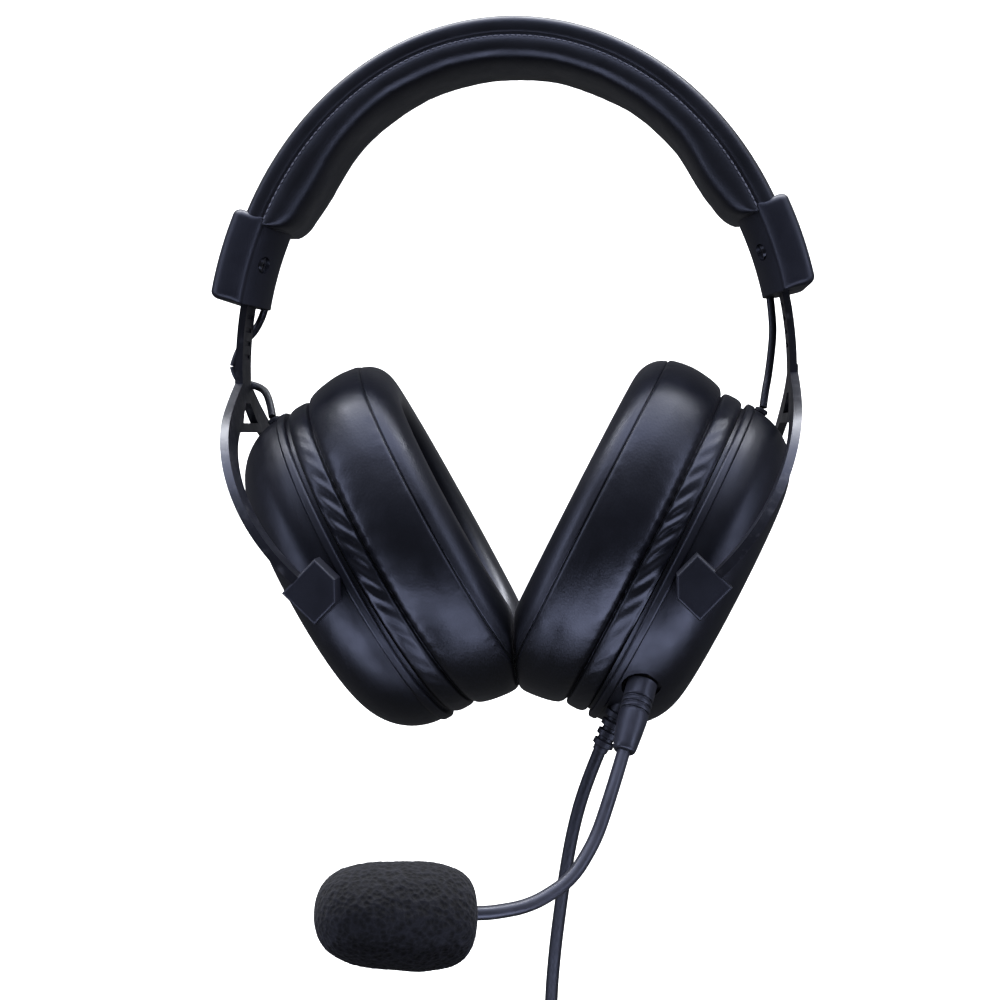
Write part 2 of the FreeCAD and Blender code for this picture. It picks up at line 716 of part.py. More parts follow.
def build_pad():
    """Ear pad: a narrower skirt at the baffle, a groove, and the full cushion, flattened where the pads meet."""
    skirt_end = size("skirt_depth")
    crown = size("pad_crown")
    pad = cup_body("pad_cushion")
    sketch = add_sketch(pad, "XY_Plane", [ellipse(size("pad_long"), size("pad_short"))], -crown)
    cushion = add_feature(pad, "Pad", sketch, Length="sizes.pad_crown - sizes.skirt_depth - 0.6")
    rounded = fillet(pad, cushion, flat_at(-crown), 9.0)
    back_edge = -skirt_end - 0.6
    rounded = fillet(pad, rounded, flat_at(back_edge), 5.0)
    skirt = cup_body("pad_skirt")
    sketch = add_sketch(skirt, "XY_Plane", [ellipse(size("skirt_long"), size("skirt_short"))], -skirt_end)
    band = add_feature(skirt, "Pad", sketch, Length="sizes.skirt_depth - sizes.pad_base")
    fillet(skirt, band, flat_at(-skirt_end), 1.5)
    core = cup_body("pad_core")
    sketch = add_sketch(core, "XY_Plane", [ellipse(49.0, 40.0)], -skirt_end - 4)
    add_feature(core, "Pad", sketch, Length=8.0)
    ear_hole = cup_body("pad_hole")
    outline = [ellipse(size("ear_hole_long"), size("ear_hole_short"))]
    sketch = add_sketch(ear_hole, "XY_Plane", outline, -crown - 2)
    add_feature(ear_hole, "Pad", sketch, Length="sizes.pad_crown + 4")
    half_space = doc.addObject("Part::Box", "pad_meeting_plane")
    half_space.Length = 40
    half_space.Width = 140
    half_space.Height = 160
    half_space.Placement = Placement(Vector(-40 + size("pad_gap"), -70, -230), Rotation())
    blank = fuse("pad_blank", pad, skirt, core)
    keep_pair("ear_pad", cut("left_ear_pad", blank, fuse("pad_spaces", ear_hole, half_space)))


def build_grommet():
    """Rubber grommet where the link lead enters the top of the cup."""
    profile = [(0, 0), (1.5, 0.1), (2.0, 0.5), (2.0, 1.3), (1.8, 1.4), (1.8, 5.4), (0, 5.4)]
    keep_pair("lead_grommet", turned("left_lead_grommet", profile, along(GROMMET, DOWN)))


def build_board():
    board = cup_body("left_wiring_board")
    sketch = add_sketch(board, "XY_Plane", polygon([(26, -8), (42, -8), (42, 8), (26, 8)]), size("ring_half_height") + 0.02)
    add_feature(board, "Pad", sketch, Length=1.2)
    keep("left_wiring_board", board)


# ---------------------------------------------------------------- tubes along routes


def tube(label, route, radius):
    """Round tube along straight runs joined by tangent arcs; prints each bend's radius."""
    points = [Vector(*p) for p in route]
    edges = []
    start = points[0]
    bends = []
    length = 0.0
    for before, corner, after in zip(points, points[1:], points[2:]):
        a = (before - corner).normalize()
        b = (after - corner).normalize()
        run = min((before - corner).Length, (after - corner).Length)
        turn = math.pi - a.getAngle(b)
        setback = 0.45 * run
        bend = setback / math.tan(turn / 2)
        bends.append(round(bend, 1))
        entry = corner + a * setback
        leave = corner + b * setback
        middle_line = (a + b).normalize()
        centre = corner + middle_line * (bend / math.cos(turn / 2))
        edges.append(Part.LineSegment(start, entry).toShape())
        edges.append(Part.Arc(entry, centre - middle_line * bend, leave).toShape())
        length += (entry - start).Length + bend * turn
        start = leave
    edges.append(Part.LineSegment(start, points[-1]).toShape())
    length += (points[-1] - start).Length
    wire = Part.Wire(edges)
    direction = points[1] - points[0]
    disc = Part.Wire([Part.Circle(points[0], direction, radius).toShape()])
    solid = wire.makePipeShell([disc], True, False)
    ratio = solid.Volume / (math.pi * radius**2 * length)
    print(f"{label}: length {length:.1f}, bend radii {bends}, volume ratio {ratio:.3f}")
    item = doc.addObject("Part::Feature", label)
    item.Shape = solid
    return item


# ---------------------------------------------------------------- link leads

GROMMET = in_cup(-LEAD_TOP - 1.6, 0, LEAD_OUT)
LEAD_END = in_cup(-LEAD_TOP - 3.0, 0, LEAD_OUT)
LEFT_LEAD_UPPER = [(76.3, 6.5, -67.0), (76.9, 6.4, -73.0), (77.0, 5.8, -79.0), (76.2, 5.0, -84.7)]
LEFT_LEAD_LOWER = [(76.16, 4.96, -85.0), (75.4, 4.2, -90.4), (74.2, 1.7, -95.2), tuple(LEAD_END)]
RIGHT_LEAD_UPPER = [(-76.3, 6.5, -67.0), (-78.9, 8.9, -73.0), (-85.2, 9.5, -77.8), (-87.1, 9.4, -84.2)]
RIGHT_LEAD_LOWER = [
    (-87.16, 9.4, -84.9), (-86.2, 9.7, -89.2), (-79.8, 9.9, -90.2), (-75.4, 5.6, -93.2), (-LEAD_END.x, 0, LEAD_END.z)
]


def build_leads():
    radius = size("lead_radius")
    keep("left_link_lead_upper", tube("left_link_lead_upper", LEFT_LEAD_UPPER, radius))
    keep("left_link_lead_lower", tube("left_link_lead_lower", LEFT_LEAD_LOWER, radius))
    keep("right_link_lead_upper", tube("right_link_lead_upper", RIGHT_LEAD_UPPER, radius))
    keep("right_link_lead_lower", tube("right_link_lead_lower", RIGHT_LEAD_LOWER, radius))


# ---------------------------------------------------------------- microphone

BOOM_ROUTE = [
    tuple(MIC_MOUTH + MIC_AXIS * 12.0),
    tuple(MIC_MOUTH + MIC_AXIS * 20.5),
    (27.2, -49.8, -206.4),
    (23.6, -55.0, -216.0),
    (17.2, -62.0, -225.4),
    (6.6, -68.8, -230.6),
    (-4.6, -74.2, -231.2),
    (-13.4, -77.6, -230.0),
]
WIND_START = Vector(-8.0, -75.8, -230.8)
WIND_AXIS = Vector(-0.95, -0.30, 0.115).normalize()


def build_microphone():
    radius = size("plug_radius")
    jack = rod("jack_body", MIC_MOUTH - MIC_AXIS * 16.5, MIC_MOUTH - MIC_AXIS * 3.0, 3.45)
    jack_hole = rod("jack_hole", MIC_MOUTH - MIC_AXIS * 16.0, MIC_MOUTH, radius + 0.05)
    keep("mic_jack", cut("mic_jack", jack, jack_hole))

    # plug: waisted tip, flush shaft and a shoulder that sits in the sleeve
    tip = [
        (0, 0), (0.9, 0.5), (1.6, 1.9), (1.15, 3.4), (radius, 3.8), (radius, 12.6), (3.0, 12.6), (3.0, 14.6), (0, 14.6),
    ]
    keep("mic_plug", turned("mic_plug", tip, along(MIC_MOUTH - MIC_AXIS * 15.2, MIC_AXIS)))

    # sleeve: a head in the recess, three rings, then a tapering grip; hollow for the plug's shoulder and the boom
    sleeve = [
        (3.05, -2.6), (5.1, -2.6), (5.1, 2.6), (4.5, 2.8), (4.5, 3.3), (5.1, 3.5), (5.1, 4.5), (4.45, 4.7), (4.45, 5.2),
        (5.0, 5.4), (5.0, 6.4), (4.35, 6.6), (4.35, 7.1), (4.9, 7.3), (4.3, 13.0), (3.7, 18.6), (3.0, 19.2), (2.0, 19.2),
        (2.0, -0.5), (3.05, -0.5),
    ]
    keep("mic_sleeve", turned("mic_sleeve", sleeve, along(MIC_MOUTH, MIC_AXIS)))
    keep("mic_boom", tube("mic_boom", BOOM_ROUTE, size("boom_radius")))

    end = Vector(*BOOM_ROUTE[-1])
    housing_axis = (end - Vector(*BOOM_ROUTE[-2])).normalize()
    housing = [(1.95, -6.0), (3.4, -6.0), (5.2, -3.5), (5.2, 10.0), (4.4, 10.0), (4.4, 1.0), (1.95, 1.0)]
    keep("mic_capsule_housing", turned("mic_capsule_housing", housing, along(end, housing_axis)))
    capsule = [(0, 4.0), (4.3, 4.0), (4.3, 9.6), (0, 9.6)]
    keep("mic_capsule", turned("mic_capsule", capsule, along(end, housing_axis)))

    # foam windshield: a thick barrel, blunt at the boom end and rounder at the tip, hollow over the housing
    foam = add_body("windshield_blank", along(WIND_START, WIND_AXIS))
    outline = [
        Part.LineSegment(Vector(0, 0, 0), Vector(6.0, 0, 0)),
        Part.Arc(Vector(6.0, 0, 0), Vector(11.4, 2.6, 0), Vector(13.6, 9.0, 0)),
        Part.Arc(Vector(13.6, 9.0, 0), Vector(14.1, 18.0, 0), Vector(13.0, 28.0, 0)),
        Part.Arc(Vector(13.0, 28.0, 0), Vector(11.0, 37.3, 0), Vector(3.0, 41.0, 0)),
        Part.LineSegment(Vector(3.0, 41.0, 0), Vector(0, 41.0, 0)),
        Part.LineSegment(Vector(0, 41.0, 0), Vector(0, 0, 0)),
    ]
    sketch = add_sketch(foam, "XZ_Plane", outline)
    add_feature(foam, "Revolution", sketch, ReferenceAxis=(sketch, ["V_Axis"]), Angle=360.0)
    room = rod("windshield_room", end - housing_axis * 12.0, end + housing_axis * 10.4, 5.6)
    keep("mic_windshield", cut("mic_windshield", foam, room))


# ---------------------------------------------------------------- cable

RELIEF_LENGTH = 13.0
RELIEF_TIP = relief_point(RELIEF_LENGTH)
HANK_TOP = -282.0
HANK_LENGTH = 72.0
HANK_WIDTH = 32.4
HANK_DEPTH = 19.4
HANK_CENTRE = Vector(-2.1, -12.4, HANK_TOP - HANK_LENGTH)
PLUG_RUN = Vector(12.2, -12.4, HANK_TOP - HANK_LENGTH)
CABLE_ROUTE = [
    tuple(RELIEF_TIP),
    (20.0, -22.3, -207.4),
    (16.5, -22.8, -218.8),
    (14.0, -22.6, -231.0),
    (12.0, -22.0, -243.6),
    (10.2, -21.2, -256.2),
    (8.9, -20.4, -269.0),
    (8.4, -20.0, HANK_TOP),
]


def build_cable():
    ribs = [(0, -5.6), (2.9, -5.6), (2.9, 0.6)]
    for index, rib_radius in enumerate((3.7, 3.5, 3.3, 3.1)):
        low = 0.8 + index * 3.0
        root = 2.5 - 0.08 * index
        ribs += [(rib_radius, low), (rib_radius, low + 1.5), (root, low + 1.9), (root, low + 2.7)]
    ribs += [(2.2, RELIEF_LENGTH), (0, RELIEF_LENGTH)]
    keep("cable_strain_relief", turned("cable_strain_relief", ribs, along(relief_point(0), DOWN)))
    keep("cable_lead", tube("cable_lead", CABLE_ROUTE, size("cable_radius")))

    # tied hank: upright block round the folded turns, with a tie round its waist and the plug hanging from its foot
    hank = add_body("cable_hank", Placement(HANK_CENTRE, Rotation()))
    sketch = add_sketch(hank, "XY_Plane", rectangle(HANK_WIDTH, HANK_DEPTH))
    bundle = add_feature(hank, "Pad", sketch, Length=HANK_LENGTH)
    fillet(hank, bundle, lambda edge: edge.BoundBox.ZLength > HANK_LENGTH / 2, 2.5)
    band = add_body("tie_band", Placement(HANK_CENTRE + Vector(0, 0, HANK_LENGTH / 2 - 4), Rotation()))
    outside = rectangle(HANK_WIDTH + 2, HANK_DEPTH + 2)
    sketch = add_sketch(band, "XY_Plane", outside + rectangle(HANK_WIDTH + 0.04, HANK_DEPTH + 0.04))
    add_feature(band, "Pad", sketch, Length=8.0)
    keep("cable_hank", hank)
    keep("cable_tie", band)

    down = Vector(0, 0, -1)
    radius = size("plug_radius")
    grip = [(0, 0), (2.3, 0), (2.7, 6.0), (3.5, 8.0), (3.6, 20.0), (3.3, 21.5), (0, 21.5)]
    keep("audio_plug_grip", turned("audio_plug_grip", grip, along(PLUG_RUN, down)))
    shaft = [
        (0, 0), (2.6, 0), (2.6, 0.9), (radius, 0.9), (radius, 10.2), (1.15, 10.7), (1.6, 12.3), (0.9, 13.6), (0, 14.1),
    ]
    keep("audio_plug", turned("audio_plug", shaft, along(PLUG_RUN + down * 21.5, down)))


# ---------------------------------------------------------------- build, test and write

build_headband()
build_blocks()
build_pivots(build_yoke())
build_shell()
build_baffle()
build_driver()
build_pad()
build_grommet()
build_board()
build_leads()
build_microphone()
build_cable()
doc.recompute()

for item in doc.Objects:
    if any(word in item.State for word in ("Invalid", "Error")):
        raise RuntimeError(f"{item.Label} failed: {item.State}")

os.makedirs("parts", exist_ok=True)
for label, item in sorted(parts.items()):
    shape = item.Shape
    if shape.isNull() or not shape.isValid():
        raise RuntimeError(f"{label} is null or invalid")
    if shape.Volume <= 0 or not shape.Solids:
        raise RuntimeError(f"{label} holds no solid")
    shape.exportStep(f"parts/{label}.step")
print(f"{len(parts)} nodes written")
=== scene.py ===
"""Looks of the gaming headset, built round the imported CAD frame.

The axes are the frame's own: +X is the wearer's left, +Y the back of the head, +Z up.
Shapes below are given in millimetres and scaled by MM to Blender's metres.
"""

import json
import math

import bmesh
import bpy
import numpy as np
from mathutils import Matrix, Vector, noise


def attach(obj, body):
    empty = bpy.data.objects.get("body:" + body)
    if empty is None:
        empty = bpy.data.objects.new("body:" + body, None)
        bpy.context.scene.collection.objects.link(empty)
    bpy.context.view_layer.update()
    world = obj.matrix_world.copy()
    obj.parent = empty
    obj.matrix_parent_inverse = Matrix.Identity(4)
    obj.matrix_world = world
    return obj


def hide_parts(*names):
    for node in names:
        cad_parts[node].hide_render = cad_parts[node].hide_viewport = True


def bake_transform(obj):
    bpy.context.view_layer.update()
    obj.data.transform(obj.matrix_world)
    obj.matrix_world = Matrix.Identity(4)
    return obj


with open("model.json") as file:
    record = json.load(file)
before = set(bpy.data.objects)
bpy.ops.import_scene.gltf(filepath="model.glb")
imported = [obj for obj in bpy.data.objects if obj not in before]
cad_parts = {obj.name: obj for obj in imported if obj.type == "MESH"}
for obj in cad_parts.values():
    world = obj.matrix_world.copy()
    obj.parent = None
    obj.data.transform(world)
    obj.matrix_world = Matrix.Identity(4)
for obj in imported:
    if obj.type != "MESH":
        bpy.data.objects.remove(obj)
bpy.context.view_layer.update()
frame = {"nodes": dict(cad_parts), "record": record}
NODES = frame["nodes"]
MM = 0.001
SIDES = {"left": 1, "right": -1}

# ---------------------------------------------------------------- places shared with the CAD model

CUP_CENTRE = Vector((45.6, 0.0, -145.3))
CUP_TILT = math.radians(27.9)
OUTWARD = Vector((math.cos(CUP_TILT), 0, -math.sin(CUP_TILT)))
DOWN = Vector((-math.sin(CUP_TILT), 0, -math.cos(CUP_TILT)))
BLOCK_CENTRE = Vector((-28.8, 0, -87.7))
BAND_HALF_WIDTH, BAND_RISE, BAND_BASE = 87.1, 102.6, -88.6
SEAM_DEPTH = 5.5
MIC_AXIS = Vector((-0.25, -0.55, -0.80)).normalized()
UP = Vector((0, 0, 1))


def in_cup(down, back, out):
    """Left-hand world point from cup coordinates: down along the cup, back in Y, out from the baffle."""
    return CUP_CENTRE + DOWN * down + Vector((0, back, 0)) + OUTWARD * out


def spokes(axis, count):
    """Unit vectors square to an axis, evenly spaced round it."""
    across = axis.cross(UP).normalized()
    above = across.cross(axis)
    angles = [2 * math.pi * step / count for step in range(count)]
    return [across * math.cos(angle) + above * math.sin(angle) for angle in angles]


# ---------------------------------------------------------------- camera

CAMERA_TARGET = Vector((-5.0, 0.0, -126.2)) * MM
CAMERA_DISTANCE = 0.5385
CAMERA_YAW, CAMERA_PITCH, CAMERA_ROLL = (math.radians(a) for a in (4.54, 2.0, 1.05))
CAMERA_LENS, CAMERA_SENSOR = 64.8, 36


def make_camera():
    """Camera a little to the wearer's left of straight ahead, slightly above and rolled."""
    forward = Vector(
        (
            -math.sin(CAMERA_YAW) * math.cos(CAMERA_PITCH),
            math.cos(CAMERA_YAW) * math.cos(CAMERA_PITCH),
            -math.sin(CAMERA_PITCH),
        )
    )
    level = Vector((math.cos(CAMERA_YAW), math.sin(CAMERA_YAW), 0))
    upright = level.cross(forward)
    across = level * math.cos(CAMERA_ROLL) - upright * math.sin(CAMERA_ROLL)
    above = level * math.sin(CAMERA_ROLL) + upright * math.cos(CAMERA_ROLL)
    data = bpy.data.cameras.new("camera")
    data.sensor_width = CAMERA_SENSOR
    data.lens = CAMERA_LENS
    camera = bpy.data.objects.new("camera", data)
    bpy.context.scene.collection.objects.link(camera)
    matrix = Matrix((across, above, -forward)).transposed().to_4x4()
    matrix.translation = CAMERA_TARGET - forward * CAMERA_DISTANCE
    camera.matrix_world = matrix
    bpy.context.scene.camera = camera


make_camera()

# ---------------------------------------------------------------- materials


class Surface:
    """A Principled material whose colour, roughness and relief vary with procedural nodes."""

    def __init__(self, name, colour, roughness, **sockets):
        self.material = bpy.data.materials.new(name)
        self.material.use_nodes = True
        self.tree = self.material.node_tree
        self.shader = self.tree.nodes["Principled BSDF"]
        self.shader.inputs["Base Color"].default_value = (*colour, 1)
        self.shader.inputs["Roughness"].default_value = roughness
        for socket, value in sockets.items():
            self.shader.inputs[socket.replace("_", " ")].default_value = value
        self.coordinates = self.node("ShaderNodeTexCoord").outputs["Object"]
        self.colour = colour
        self.normal = None

    def node(self, kind, **settings):
        """A new shader node with its settings."""
        made = self.tree.nodes.new(kind)
        for key, value in settings.items():
            setattr(made, key, value)
        return made

    def link(self, source, target):
        self.tree.links.new(source, target)

    def noise(self, scale, detail=4.0, stretch=None):
        """Cloudy noise, finer for a larger scale, drawn out along an axis by stretch."""
        texture = self.node("ShaderNodeTexNoise")
        texture.inputs["Scale"].default_value = scale
        texture.inputs["Detail"].default_value = detail
        self.link(self.stretched(stretch), texture.inputs["Vector"])
        return texture.outputs["Fac"]

    def cells(self, scale):
        """Distance from the middle of each of many small cells."""
        texture = self.node("ShaderNodeTexVoronoi", feature="F1")
        texture.inputs["Scale"].default_value = scale
        self.link(self.coordinates, texture.inputs["Vector"])
        return texture.outputs["Distance"]

    def stretched(self, stretch):
        """Object coordinates, scaled along the axes where a stretch is given."""
        if stretch is None:
            return self.coordinates
        mapping = self.node("ShaderNodeMapping")
        mapping.inputs["Scale"].default_value = stretch
        self.link(self.coordinates, mapping.inputs["Vector"])
        return mapping.outputs["Vector"]

    def spread(self, source, low, high, start=0.3, end=0.7):
        """Source remapped so that start..end gives low..high."""
        remap = self.node("ShaderNodeMapRange")
        for socket, value in (("From Min", start), ("From Max", end), ("To Min", low), ("To Max", high)):
            remap.inputs[socket].default_value = value
        self.link(source, remap.inputs["Value"])
        return remap.outputs["Result"]

    def mottle(self, source, amount):
        """Base colour drifting between darker and lighter by a share of itself."""
        ramp = self.node("ShaderNodeValToRGB")
        ramp.color_ramp.elements[0].position = 0.3
        ramp.color_ramp.elements[1].position = 0.72
        ramp.color_ramp.elements[0].color = (*(c * (1 - amount) for c in self.colour), 1)
        ramp.color_ramp.elements[1].color = (*(c * (1 + amount) for c in self.colour), 1)
        self.link(source, ramp.inputs["Fac"])
        self.link(ramp.outputs["Color"], self.shader.inputs["Base Color"])
        return self

    def roughen(self, source, low, high):
        """Roughness that varies from low to high."""
        self.link(self.spread(source, low, high), self.shader.inputs["Roughness"])
        return self

    def relief(self, source, height_mm, strength):
        """One more layer of bump over those already there."""
        bump = self.node("ShaderNodeBump")
        bump.inputs["Strength"].default_value = strength
        bump.inputs["Distance"].default_value = height_mm * MM
        self.link(source, bump.inputs["Height"])
        if self.normal is not None:
            self.link(self.normal, bump.inputs["Normal"])
        self.normal = bump.outputs["Normal"]
        self.link(self.normal, self.shader.inputs["Normal"])
        return self


COOL = (0.82, 0.86, 1.0, 1)


def leatherette(name, colour, roughness):
    """Synthetic leather: small pebbled cells, fine creases and a soft satin that drifts over the surface."""
    s = Surface(name, colour, roughness, Specular_Tint=COOL, Sheen_Weight=0.06, Sheen_Roughness=0.4)
    s.mottle(s.noise(70), 0.18)
    s.roughen(s.noise(110, 6), roughness - 0.05, roughness + 0.07)
    s.relief(s.cells(1150), 0.05, 0.35)
    s.relief(s.noise(2600, 3), 0.02, 0.4)
    return s.material


def moulded(name, colour, roughness, grain_mm=0.035, grain_scale=1900):
    """Matte moulded plastic with a fine spark-eroded grain and a faint drift in gloss."""
    s = Surface(name, colour, roughness, Specular_Tint=COOL)
    s.mottle(s.noise(45), 0.12)
    s.roughen(s.noise(150, 5), roughness - 0.05, roughness + 0.06)
    s.relief(s.noise(grain_scale, 2), grain_mm, 0.5)
    return s.material


def coated_metal(name, colour, roughness, worn=(0.05, 0.05, 0.055)):
    """Powder-coated steel: tight orange peel, with the coat a little paler where it has been rubbed."""
    s = Surface(name, colour, roughness, Specular_Tint=COOL, Coat_Weight=0.12, Coat_Roughness=0.3)
    rubbed = s.spread(s.noise(320, 6), 0, 1, 0.56, 0.74)
    mix = s.node("ShaderNodeMix", data_type="RGBA")
    mix.inputs["A"].default_value = (*colour, 1)
    mix.inputs["B"].default_value = (*worn, 1)
    s.link(rubbed, mix.inputs["Factor"])
    s.link(mix.outputs["Result"], s.shader.inputs["Base Color"])
    s.roughen(s.noise(240, 4), roughness - 0.06, roughness + 0.08)
    s.relief(s.noise(1500, 2), 0.02, 0.45)
    return s.material


def bare_metal(name, colour, roughness):
    """Drawn or plated metal with faint lines along one direction."""
    stretch = (1, 14, 1)
    s = Surface(name, colour, roughness, Metallic=1.0)
    s.mottle(s.noise(220, 3, stretch), 0.08)
    s.roughen(s.noise(420, 4, stretch), roughness - 0.06, roughness + 0.1)
    s.relief(s.noise(900, 3, stretch), 0.01, 0.3)
    return s.material


def rubber(name, colour, roughness, grain_mm=0.02):
    """Soft moulded rubber with a fine dull grain."""
    s = Surface(name, colour, roughness, Specular_Tint=COOL)
    s.mottle(s.noise(130), 0.15)
    s.roughen(s.noise(260, 5), roughness - 0.06, roughness + 0.07)
    s.relief(s.noise(2400, 2), grain_mm, 0.5)
    return s.material


def braided(name, colour, roughness):
    """Sheath with a fine crossed lay, seen as slanted ridges along the lead."""
    s = Surface(name, colour, roughness, Specular_Tint=COOL, Sheen_Weight=0.08)
    for slant in (1, -1):
        wave = s.node("ShaderNodeTexWave", wave_type="BANDS", bands_direction="DIAGONAL")
        wave.inputs["Scale"].default_value = 520
        wave.inputs["Distortion"].default_value = 0.6
        s.link(s.stretched((slant, 1, 0.55)), wave.inputs["Vector"])
        s.relief(wave.outputs["Fac"], 0.05, 0.45)
    s.mottle(s.noise(900, 3), 0.3)
    s.roughen(s.noise(300, 4), roughness - 0.06, roughness + 0.08)
    return s.material


def foam(name, colour):
    """Open-cell foam: pits of two sizes, no gloss, and painted shade that darkens the inside of each larger
    pit.
    """
    s = Surface(name, colour, 0.95, Sheen_Weight=0.04, Sheen_Roughness=0.7, Specular_IOR_Level=0.25)
    pit_depth_and_shade = s.cells(720)
    # Painted shade: the base colour darkens towards the middle of each large pit, where shade falls in the
    # hollow.
    s.mottle(pit_depth_and_shade, 0.75)
    s.relief(pit_depth_and_shade, 0.45, 0.9)
    s.relief(s.noise(1700, 4), 0.25, 0.8)
    return s.material


def woven(name, colour):
    """Thin woven cloth: two crossed sets of threads."""
    s = Surface(name, colour, 0.85, Sheen_Weight=0.3)
    for stretch in ((1, 0, 0), (0, 1, 0)):
        wave = s.node("ShaderNodeTexWave")
        wave.inputs["Scale"].default_value = 420
        s.link(s.stretched(stretch), wave.inputs["Vector"])
        s.relief(wave.outputs["Fac"], 0.12, 0.5)
    s.mottle(s.noise(500, 3), 0.3)
    return s.material


MATERIALS = {
    "leatherette": leatherette("pad_leatherette", (0.0075, 0.0078, 0.0105), 0.36),
    "band_leatherette": leatherette("band_leatherette", (0.007, 0.0072, 0.0092), 0.42),
    "black_plastic": moulded("block_plastic", (0.0125, 0.013, 0.018), 0.46),
    "shell_plastic": moulded("shell_plastic", (0.009, 0.0093, 0.013), 0.4, 0.025),
    "black_metal": coated_metal("black_coated_steel", (0.010, 0.0103, 0.0135), 0.36),
    "screw_black": coated_metal("black_screws", (0.012, 0.012, 0.014), 0.34, (0.09, 0.09, 0.095)),
    "spring_steel": bare_metal("spring_steel", (0.5, 0.5, 0.51), 0.32),
    "pin_steel": bare_metal("pin_steel", (0.55, 0.55, 0.56), 0.25),
    "lead_braid": braided("lead_sheath", (0.008, 0.008, 0.010), 0.46),
    "cable_sheath": braided("cable_sheath", (0.008, 0.0083, 0.011), 0.5),
    "rubber_black": rubber("black_rubber", (0.011, 0.011, 0.014), 0.5),
    "boot_grey": rubber("boot_rubber", (0.034, 0.035, 0.043), 0.38),
    "boom_black": rubber("boom_sleeve", (0.042, 0.043, 0.052), 0.36),
    "foam": foam("windshield_foam", (0.0045, 0.0046, 0.0062)),
    "gold": bare_metal("gold_plate", (0.85, 0.62, 0.27), 0.2),
    "scrim": woven("ear_scrim_cloth", (0.016, 0.016, 0.019)),
    "frame_plastic": moulded("driver_plastic", (0.03, 0.03, 0.032), 0.5),
    "magnet": bare_metal("nickel_plate", (0.66, 0.65, 0.62), 0.22),
    "film": moulded("driver_film", (0.5, 0.5, 0.47), 0.25, 0.01),
    "board": moulded("wiring_board_mask", (0.01, 0.08, 0.03), 0.32, 0.01),
    "tie": rubber("tie_rubber", (0.014, 0.014, 0.016), 0.55),
    "thread": rubber("seam_thread", (0.16, 0.16, 0.175), 0.6, 0.03),
}


def finish_cad_nodes():
    """Every CAD node takes the material of its slot."""
    slots = {row["node"]: row["material_slot"] for row in frame["record"]["subparts"]}
    for name, node in NODES.items():
        node.data.materials.clear()
        node.data.materials.append(MATERIALS[slots[name]])


finish_cad_nodes()

# ---------------------------------------------------------------- mesh helpers


def new_object(name, data, material):
    """An object in the scene from a mesh or curve, with one of the materials."""
    made = bpy.data.objects.new(name, data)
    bpy.context.scene.collection.objects.link(made)
    data.materials.append(MATERIALS[material])
    return made


def grid_mesh(name, points, material, around=True, along=False):
    """A mesh from points[along][around] in millimetres; open ends are closed by fans round their middle."""
    rows, columns, _ = points.shape
    vertices = [tuple(p * MM) for p in points.reshape(-1, 3)]
    faces = []
    for i in range(rows if along else rows - 1):
        for j in range(columns if around else columns - 1):
            a, b = i * columns, (i + 1) % rows * columns
            k = (j + 1) % columns
            faces.append((a + j, a + k, b + k, b + j))
    if not along:
        for row, flip in ((0, True), (rows - 1, False)):
            centre = len(vertices)
            vertices.append(tuple(points[row].mean(axis=0) * MM))
            for j in range(columns):
                a, b = row * columns + j, row * columns + (j + 1) % columns
                faces.append((b, a, centre) if flip else (a, b, centre))
    mesh = bpy.data.meshes.new(name)
    mesh.from_pydata(vertices, [], faces)
    mesh.validate()
    mesh.polygons.foreach_set("use_smooth", [True] * len(mesh.polygons))
    mesh.update()
    return new_object(name, mesh, material)


def smooth_curve(points, per_span, closed):
    """Points on a Catmull-Rom curve through the given ones."""
    points = np.array(points, float)
    count = len(points)
    spans = count if closed else count - 1
    result = []
    for i in range(spans):
        if closed:
            p = [points[(i + k) % count] for k in (-1, 0, 1, 2)]
        else:
            p = [points[min(max(i + k, 0), count - 1)] for k in (-1, 0, 1, 2)]
        for step in range(per_span):
            u = step / per_span
            result.append(
                0.5 * (2 * p[1] + (p[2] - p[0]) * u + (2 * p[0] - 5 * p[1] + 4 * p[2] - p[3]) * u**2
                       + (3 * p[1] - p[0] - 3 * p[2] + p[3]) * u**3)
            )
    if not closed:
        result.append(points[-1])
    return np.array(result)


def symmetric(front, middle):
    """A section from its front half: the half, its middle point, and the half mirrored to the back."""
    return front + [(middle, 0.0)] + [(first, -back) for first, back in reversed(front)]


def bell(value, centre, width):
    """Smooth bump of height 1 at centre, fading to nothing beyond about twice the width."""
    return math.exp(-(((value - centre) / width) ** 2))


def ripple(x, y, z, seed):
    """Smooth repeatable noise between about -1 and 1; each seed reads another layer of it."""
    layer_spacing = 17.3
    return noise.noise(Vector((x, y, z + layer_spacing * seed)))


def face_outward(obj):
    """Turns every face outward, so that the mesh is a proper closed solid."""
    work = bmesh.new()
    work.from_mesh(obj.data)
    bmesh.ops.recalc_face_normals(work, faces=work.faces)
    work.to_mesh(obj.data)
    work.free()


# ---------------------------------------------------------------- cords

CABLE_RADIUS = 1.9
HANK_MIDDLE = Vector((-2.1, -12.4, -318.0))
HANK_HEIGHT = 72.0
HANK_STEPS = (4, 6, 4, 6)
WAIST_PULL, WAIST_SPREAD = 0.3, 13
INNER_BEND, OUTER_BEND = 10.5, 14.3
HANK_TURNS = [(back, INNER_BEND) for back in (-7.6, -3.8, 0, 3.8, 7.6)]
HANK_TURNS += [(back, OUTER_BEND) for back in (7.6, 3.8, 0)]
CABLE_ROUTE = [
    tuple(in_cup(56.5, -22.0, 5.6)),
    (20.0, -22.3, -207.4),
    (16.5, -22.8, -218.8),
    (14.0, -22.6, -231.0),
    (12.0, -22.0, -243.6),
    (10.2, -21.2, -256.2),
    (8.9, -20.4, -269.0),
    (8.4, -20.0, -282.0),
]
LEAD_RADIUS = 1.2
LEAD_END = in_cup(-53.0, 0, 3.4)
